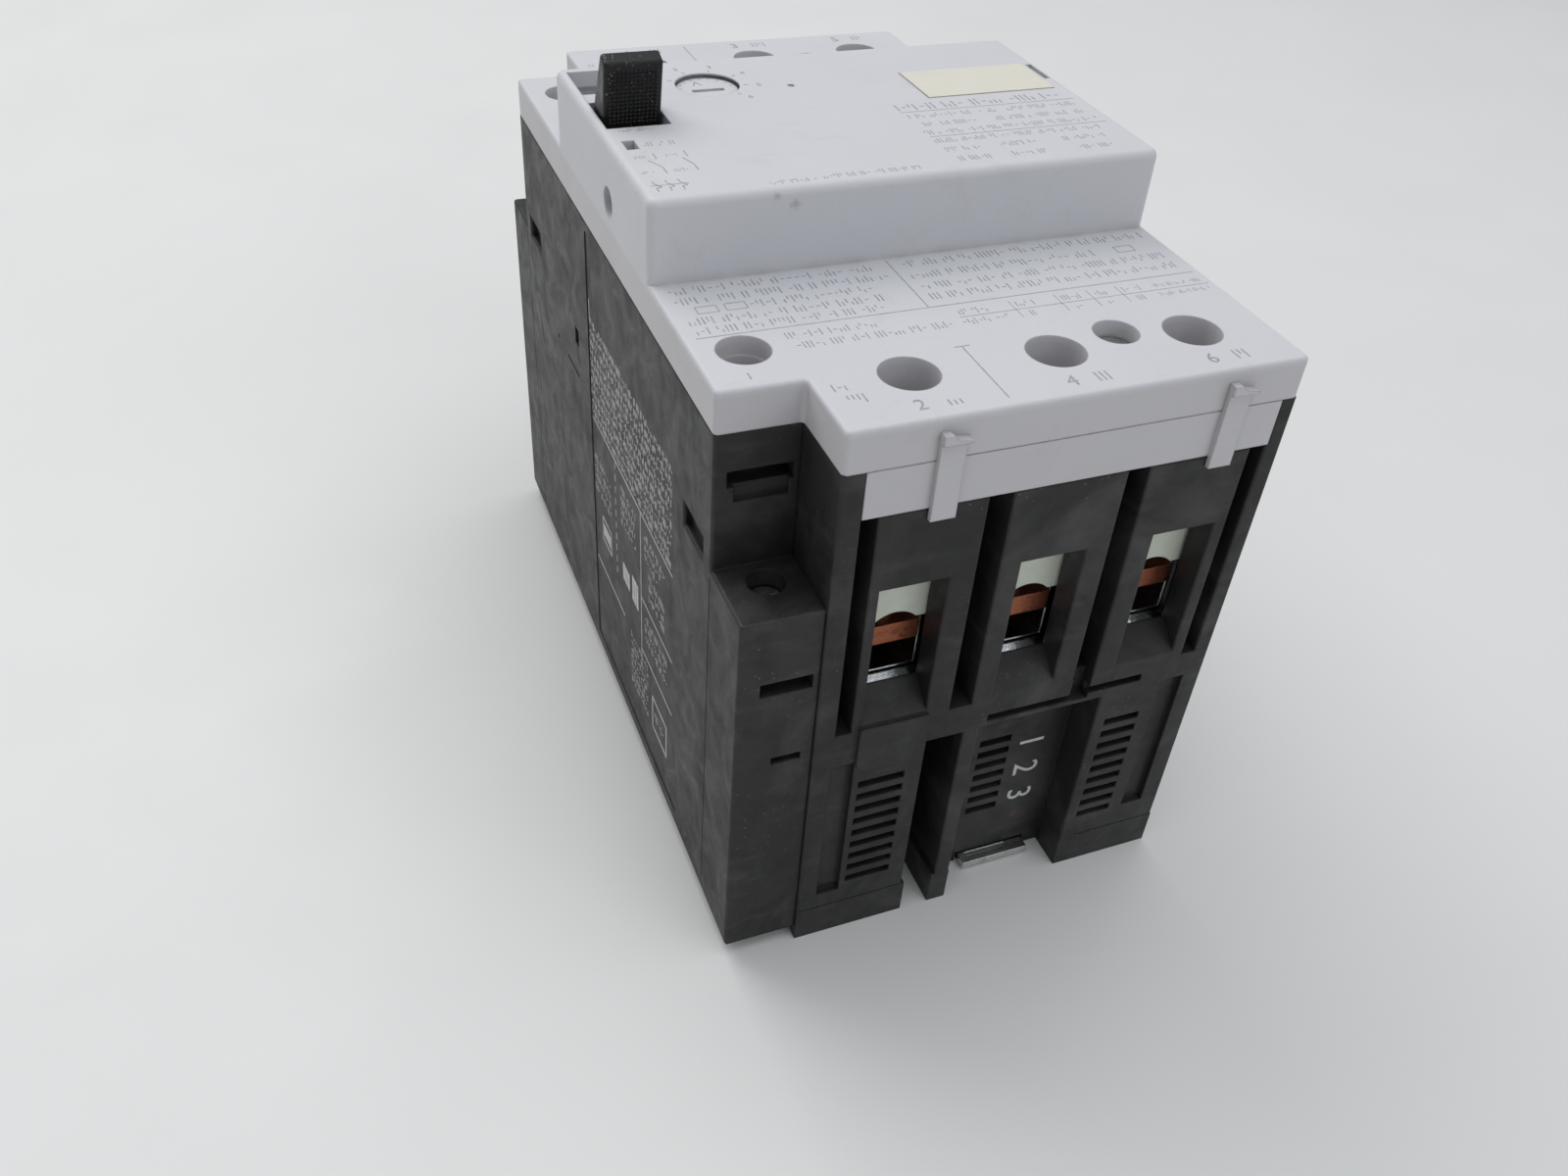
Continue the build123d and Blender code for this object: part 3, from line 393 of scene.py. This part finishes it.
class Print:
    """Thin prints on one flat face, gathered into one mesh.

    at is a point of the face, across the reading direction and up the direction of a mark's top.
    """

    def __init__(self, at, across, up):
        self.across, self.up = Vector(across), Vector(up)
        self.out = self.across.cross(self.up)
        self.at = Vector(at)
        self.points, self.faces = [], []

    def place(self, u, v, w=0.0):
        return self.at + self.across * u + self.up * v + self.out * w

    def add(self, points, faces):
        start = len(self.points)
        self.points += points
        self.faces += [[start + i for i in face] for face in faces]

    def stroke(self, u0, v0, u1, v1, width):
        """A straight stroke between two points, as a closed slab."""
        along = Vector((u1 - u0, v1 - v0))
        side = Vector((-along.y, along.x)).normalized() * (width / 2)
        corners = [(u0 - side.x, v0 - side.y), (u1 - side.x, v1 - side.y)]
        corners += [(u1 + side.x, v1 + side.y), (u0 + side.x, v0 + side.y)]
        low = [self.place(u, v, -PRINT_SINK) for u, v in corners]
        high = [self.place(u, v, PRINT_PROUD) for u, v in corners]
        sides = [(i, (i + 1) % 4, (i + 1) % 4 + 4, i + 4) for i in range(4)]
        self.add(low + high, [(3, 2, 1, 0), (4, 5, 6, 7)] + sides)

    def path(self, points, width):
        for (u0, v0), (u1, v1) in zip(points, points[1:]):
            self.stroke(u0, v0, u1, v1, width)

    def frame(self, u0, v0, u1, v1, width):
        """A rectangle's outline, its sides meeting end to end."""
        half = width / 2
        self.stroke(u0 - half, v0, u1 + half, v0, width)
        self.stroke(u0 - half, v1, u1 + half, v1, width)
        self.stroke(u0, v0 + half, u0, v1 - half, width)
        self.stroke(u1, v0 + half, u1, v1 - half, width)

    def ticks(self, chance, u0, u1, v, height, fill=1.0, weight=TICK_WEIGHT):
        """A row of small upright ticks and dashes in groups, where fine print would be."""
        pitch, width = height * TICK_PITCH, height * weight
        foot, head = v - height / 2, v + height / 2
        u = u0
        while u < u1 - pitch:
            for _ in range(chance.randint(2, 7)):
                kind, wide = chance.random(), pitch * chance.uniform(0.8, 1.2)
                if u + wide < u1 and chance.random() < fill:
                    if kind < 0.42:
                        self.stroke(u, foot, u, head, width)
                    elif kind < 0.62:
                        self.stroke(u, foot, u, v + height * chance.uniform(-0.1, 0.2), width)
                    elif kind < 0.8:
                        self.stroke(u, v - height * chance.uniform(-0.1, 0.2), u, head, width)
                    else:
                        self.stroke(u, v, u + wide * 0.8, v, width)
                        u += wide * 0.6
                u += pitch
            u += pitch * 1.2

    def rows(self, chance, rows):
        """Rows of ticks, each given as its ends, its middle height and its ticks' height."""
        for row in rows:
            self.ticks(chance, *row)

    def rules(self, rules, width):
        """Straight strokes of one width, each given by its two ends."""
        for rule in rules:
            self.stroke(*rule, width)

    def block(self, u0, u1, v0, v1, cells):
        """A solid patch divided into cells by fine gaps."""
        step = (u1 - u0) / cells
        for i in range(cells):
            middle = u0 + (i + 0.5) * step
            self.stroke(middle, v0, middle, v1, step * 0.8)

    def number(self, text, u, v, height):
        """A number in a plain typeface, centred on a point."""
        curve = bpy.data.curves.new("number", "FONT")
        curve.body = text
        curve.size = height * TYPE_SCALE
        curve.align_x, curve.align_y = "CENTER", "CENTER"
        curve.resolution_u = 3
        curve.extrude = (PRINT_SINK + PRINT_PROUD) / 2
        holder = bpy.data.objects.new("number", curve)
        bpy.context.scene.collection.objects.link(holder)
        bpy.context.view_layer.update()
        graph = bpy.context.evaluated_depsgraph_get()
        mesh = bpy.data.meshes.new_from_object(holder.evaluated_get(graph))
        middle = (PRINT_PROUD - PRINT_SINK) / 2
        points = [self.place(u + p.co.x, v + p.co.y, middle + p.co.z) for p in mesh.vertices]
        self.add(points, [list(face.vertices) for face in mesh.polygons])
        bpy.data.objects.remove(holder)

    def make(self, name, body, material):
        mesh = bpy.data.meshes.new(name)
        mesh.from_pydata([tuple(p * MM) for p in self.points], [], self.faces)
        thing = add_piece(name, mesh, body, material)
        weld(mesh)
        return thing


def weld(mesh):
    """Joins points that lie on each other, so that a typeface's extrusion is closed."""
    work = bmesh.new()
    work.from_mesh(mesh)
    bmesh.ops.remove_doubles(work, verts=work.verts, dist=1e-7)
    bmesh.ops.recalc_face_normals(work, faces=work.faces)
    work.to_mesh(mesh)
    work.free()


def add_piece(name, mesh, body, material):
    thing = bpy.data.objects.new(name, mesh)
    bpy.context.scene.collection.objects.link(thing)
    paint(thing, material)
    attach(thing, body)
    return thing


def dome_prints():
    """Dial numbers, switching symbols and rows of fine print on the raised front."""
    chance = random.Random(11)
    p = Print((0, 0, DOME_TOP), (1, 0, 0), (0, 1, 0))
    cx, cy = DIAL_AT
    for i in range(6):
        turn = math.radians(152 - 41 * i)
        c, s = math.cos(turn), math.sin(turn)
        p.stroke(cx + 5.0 * c, cy + 5.0 * s, cx + 5.7 * c, cy + 5.7 * s, SYMBOL)
        p.number(str(i + 1), cx + 7.2 * c, cy + 7.0 * s, 1.1)
    p.rows(chance, ((-32.6, -27.6, -2.5, 1.0), (-30.6, -26.3, -7.4, 1.25)))
    for x, lean in ((-30.4, 1.9), (-26.4, 1.3)):
        p.stroke(x, -10.3, x, -12.0, SYMBOL)
        p.stroke(x - lean * 0.6, -12.3, x, -14.6, SYMBOL)
        p.stroke(x, -14.7, x, -16.4, SYMBOL)
        p.rows(chance, ((x - 2.5, x - 0.7, -11.2, 0.85), (x - 2.9, x - 0.9, -15.8, 0.85)))
    for x in (-32.9, -31.3, -29.7):
        p.path([(x, -18.4), (x, -19.1), (x + 0.7, -20.2), (x, -20.4), (x, -21.4)], 0.15)
    p.stroke(-33.4, -19.7, -28.7, -19.7, 0.12)
    p.rows(chance, ((-19.4, -12.9, -22.0, 1.05), (-12.2, 1.4, -21.7, 1.15)))
    p.ticks(chance, 6.4, 31.8, -2.6, 2.1)
    for v, u0, u1 in ((-5.9, 6.2, 33.0), (-8.8, 7.6, 33.2), (-11.6, 6.4, 33.2), (-14.4, 6.4, 33.0)):
        p.ticks(chance, u0, u1, v, 1.35, 0.9)
    columns = (
        (-17.3, ((6.6, 12.5), (14.5, 20.5), (24.0, 31.0))),
        (-20.4, ((7.0, 12.0), (14.8, 20.0), (24.6, 30.0))),
    )
    for v, stops in columns:
        p.rows(chance, [(u0, u1, v, 1.35) for u0, u1 in stops])
    p.rules(((6.2, -4.3, 33.2, -4.3), (6.4, -13.0, 33.2, -13.0)), FINE)
    return p.make("dome_prints", "breaker_body", DARK_INK)


def tier_prints():
    """Terminal numbers, ruled lines and rows of fine print on the load and line tiers."""
    chance = random.Random(23)
    p = Print((0, 0, TIER_TOP), (1, 0, 0), (0, 1, 0))
    left_table = (
        (-33.2, -6.2, -25.9, 1.6),
        (-33.2, -28.6, -28.5, 1.6),
        (-27.6, -4.9, -28.5, 1.6),
        (-24.6, -7.9, -31.0, 1.6),
        (-33.0, -6.8, -33.5, 1.6),
        (-32.8, -9.0, -35.8, 1.5),
    )
    right_table = (
        (-2.3, 33.6, -26.0, 1.6),
        (-2.5, 24.5, -29.2, 1.6),
        (-2.5, 33.6, -32.1, 1.55),
        (-2.5, 33.6, -34.8, 1.55),
    )
    p.rows(chance, left_table + right_table)
    p.rules(((-33.4, -37.3, 33.9, -37.3), (-4.0, -24.6, -4.0, -37.2)), 0.14)
    for x, y in ((-30.0, -31.0), (-26.4, -31.0), (28.6, -29.2)):
        p.frame(x - 1.3, y - 0.8, x + 1.3, y + 0.8, RULE)
    p.rows(chance, ((-23.2, -11.5, -39.3, 1.4), (-22.8, -2.6, -41.7, 1.4)))
    p.rows(chance, ((-1.0, 3.4, -39.3, 1.3), (-1.6, 5.0, -41.7, 1.3)))
    p.stroke(-1.4, -40.5, 34.0, -40.5, 0.1)
    for x in (6.2, 12.6, 17.2, 21.4):
        p.stroke(x, -38.3, x, -42.4, 0.1)
        p.rows(chance, ((x + 0.7, x + 3.6, -39.3, 1.2), (x + 1.4, x + 2.8, -41.7, 1.2)))
    p.rows(chance, ((26.2, 33.8, -39.4, 0.9), (26.2, 33.8, -41.6, 0.9)))
    p.rules(((-4.4, -46.9, -4.4, -58.3), (-5.4, -46.8, -3.4, -46.8)), SYMBOL)
    p.rows(chance, ((-22.4, -20.0, -51.4, 1.5), (-21.6, -18.6, -54.0, 1.7)))
    p.number("1", -30.3, -46.6, 1.4)
    for x, load, line in zip(TERMINALS, "246", "135"):
        p.number(load, x - 1.6, -57.1, 2.1)
        p.ticks(chance, x + 1.7, x + 4.4, -57.0, 1.9)
        p.number(line, x - 1.6, 57.0, 2.1)
        p.ticks(chance, x + 1.7, x + 4.4, 57.0, 1.9)
    p.ticks(chance, -22.4, -19.4, 52.6, 1.6)
    p.ticks(chance, -20.0, 31.0, 26.4, 1.4, 0.8)
    p.stroke(-4.4, 44.9, -4.4, 58.3, SYMBOL)
    return p.make("tier_prints", "breaker_body", DARK_INK)


def side_prints():
    """White data field on the left side: fine print above, a ruled table and patches below."""
    chance = random.Random(37)
    p = Print((LEFT_FACE, 0, 0), (0, -1, 0), (0, 0, 1))
    for row in range(10):
        p.ticks(chance, FIELD_REAR, FIELD_FRONT - 0.1, 66.2 - 1.7 * row, 1.2, weight=0.16)
    rules = (
        (FIELD_REAR, 49.6, FIELD_FRONT, 49.6),
        (18.4, 49.4, 18.4, 19.5),
        (18.6, 34.0, FIELD_FRONT, 34.0),
        (18.6, 23.6, FIELD_FRONT, 23.6),
        (FIELD_REAR, 22.4, 9.0, 22.4),
        (FIELD_REAR, 66.0, FIELD_REAR, 69.6),
    )
    p.rules(rules, 0.26)
    p.rules([(5.0, 53.6 - 2.2 * step, 5.0, 52.4 - 2.2 * step) for step in range(12)], 0.24)
    for row in range(4):
        p.ticks(chance, FIELD_REAR + 0.4, 2.6, 42.8 - 1.9 * row, 1.35)
        p.ticks(chance, 8.2, 16.2, 46.6 - 2.0 * row, 1.35)
    for row in range(3):
        p.ticks(chance, 20.5, 31.0 - 2.0 * row, 46.8 - 1.9 * row, 1.3)
        p.ticks(chance, 22.5, 30.5, 40.6 - 1.9 * row, 1.3)
        p.ticks(chance, 20.5, 31.5, 31.4 - 1.9 * row, 1.3)
    p.block(-2.9, 1.4, 30.0, 32.2, 4)
    p.block(8.4, 12.2, 29.8, 33.0, 3)
    p.block(13.5, 16.9, 29.6, 34.4, 3)
    p.frame(-3.2, 28.9, 1.7, 33.3, 0.3)
    for row in range(7):
        p.ticks(chance, 12.6, 22.0, 21.8 - 1.6 * row, 1.15)
    p.frame(24.0, 12.2, 31.0, 18.4, 0.35)
    p.ticks(chance, 25.2, 30.0, 15.3, 1.6)
    return p.make("side_prints", "breaker_body", PALE_INK)


def dial_arrow():
    """Pointer printed on the setting dial, turning with it."""
    p = Print((*DIAL_AT, DIAL_TOP), (1, 0, 0), (0, 1, 0))
    p.path([(-1.5, 1.5), (-0.9, 2.9), (-0.3, 1.5)], 0.2)
    for i in range(9):
        turn = math.radians(20 * i + 10)
        c, s = math.cos(turn), math.sin(turn)
        p.stroke(3.5 * c, 3.5 * s, 4.0 * c, 4.0 * s, RULE)
    return p.make("dial_arrow", "dial", DARK_INK)


def recess_numbers():
    """Three batch numbers, painted sideways on the recessed panel."""
    p = Print((13.1, RECESS_FACE, 18.1), (0, 0, -1), (1, 0, 0))
    for step, text in enumerate("123"):
        p.number(text, 5.7 * (step - 1), 0, 4.1)
    return p.make("recess_numbers", "breaker_body", PALE_INK)


# ---------------------------------------------------------------- toggle grip


def knurled_patch():
    """Rows of small pyramids on the face of the grip that a finger pushes."""
    pivot = Vector(next(j["pos_m"] for j in frame["joints"] if j["name"] == "toggle_swing"))
    lean = Matrix.Rotation(math.radians(TOGGLE_LEAN), 4, "X")
    rest = Matrix.Translation((0, pivot.y, pivot.z)) @ lean
    x0, x1 = KNURL_X
    foot, top = Vector(KNURL_FOOT), Vector(KNURL_TOP)
    out = Vector((0, -1, (top.y - foot.y) / (top.z - foot.z))).normalized()
    across, upward = KNURL_ACROSS, KNURL_UPWARD
    chance = random.Random(5)
    points, faces = [], []

    def put(u, v, w):
        spot = foot.lerp(top, v / upward) + out * w
        spot.x = x0 + (x1 - x0) * u / across
        points.append(tuple(rest @ (spot * MM)))
        return len(points) - 1

    grid = [(i, j) for i in range(across + 1) for j in range(upward + 1)]
    front = {(i, j): put(i, j, KNURL_BASE) for i, j in grid}
    back = {(i, j): put(i, j, KNURL_SINK) for i, j in grid}
    for i in range(across):
        for j in range(upward):
            ring = [(i, j), (i + 1, j), (i + 1, j + 1), (i, j + 1)]
            tip = put(i + chance.uniform(0.42, 0.58), j + 0.5, chance.uniform(0.24, 0.34))
            faces += [(front[ring[k]], front[ring[(k + 1) % 4]], tip) for k in range(4)]
            faces.append([back[corner] for corner in reversed(ring)])
    rim = [(i, 0) for i in range(across)] + [(across, j) for j in range(upward)]
    rim += [(i, upward) for i in range(across, 0, -1)] + [(0, j) for j in range(upward, 0, -1)]
    for here, there in zip(rim, rim[1:] + rim[:1]):
        faces.append((front[there], front[here], back[here], back[there]))
    mesh = bpy.data.meshes.new("toggle_knurl")
    mesh.from_pydata(points, [], faces)
    weld(mesh)
    return add_piece("toggle_knurl", mesh, "toggle", MATERIALS["toggle_black"])


def test_button_spring():
    """The test button's return spring, as a mesh of its own on the breaker body."""
    mesh = nodes["test_spring"].data.copy()
    steel = MATERIALS["spring_steel"]
    thing = add_piece("test_button_spring", mesh, "breaker_body", steel)
    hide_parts("test_spring")
    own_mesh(thing)


# ---------------------------------------------------------------- studio


def floor():
    """A large pale plane under the part, which rests on it."""
    mesh = bpy.data.meshes.new("floor")
    signs = ((-1, -1), (1, -1), (1, 1), (-1, 1))
    corners = [(x * FLOOR_HALF, y * FLOOR_HALF, 0) for x, y in signs]
    mesh.from_pydata(corners, [], [(0, 1, 2, 3)])
    thing = bpy.data.objects.new("floor", mesh)
    bpy.context.scene.collection.objects.link(thing)
    paint(thing, floor_paint())


def soft_light(name, at, target, width, height, power, colour):
    lamp = bpy.data.lights.new(name, "AREA")
    lamp.shape = "RECTANGLE"
    lamp.size, lamp.size_y = width, height
    lamp.energy = power
    lamp.color = colour
    thing = bpy.data.objects.new(name, lamp)
    thing.location = at
    thing.rotation_euler = (Vector(target) - Vector(at)).to_track_quat("-Z", "Y").to_euler()
    bpy.context.scene.collection.objects.link(thing)


def studio():
    """Overcast room light with a broad window behind the part to the left, and a weak front fill."""
    world = bpy.data.worlds.new("room")
    bpy.context.scene.world = world
    world.use_nodes = True
    background = world.node_tree.nodes["Background"]
    background.inputs["Color"].default_value = (0.93, 0.96, 1.0, 1)
    background.inputs["Strength"].default_value = 0.40
    cool = (0.97, 0.985, 1.0)
    soft_light("window", (-0.35, 0.80, 0.95), AIM, 0.9, 0.7, 6.0, (1.0, 0.985, 0.96))
    soft_light("ceiling", (0.1, 0.0, 1.2), AIM, 1.2, 1.2, 5.6, cool)
    soft_light("front_fill", (0.45, -1.1, 0.75), AIM, 0.9, 0.6, 2.1, cool)
    bpy.context.scene.view_settings.view_transform = "Standard"


def camera():
    """The camera, where the part is seen from above its load terminals and its left side."""
    data = bpy.data.cameras.new("camera")
    data.lens = CAMERA_LENS
    data.sensor_width = CAMERA_SENSOR
    data.clip_start = 0.01
    thing = bpy.data.objects.new("camera", data)
    turn = Matrix((CAMERA_RIGHT, CAMERA_UP, CAMERA_BACK)).transposed().to_4x4()
    thing.matrix_world = Matrix.Translation(CAMERA_AT) @ turn
    bpy.context.scene.collection.objects.link(thing)
    bpy.context.scene.camera = thing


finish_cad_nodes()
dome_prints()
tier_prints()
side_prints()
recess_numbers()
dial_arrow()
knurled_patch()
test_button_spring()
floor()
studio()
camera()
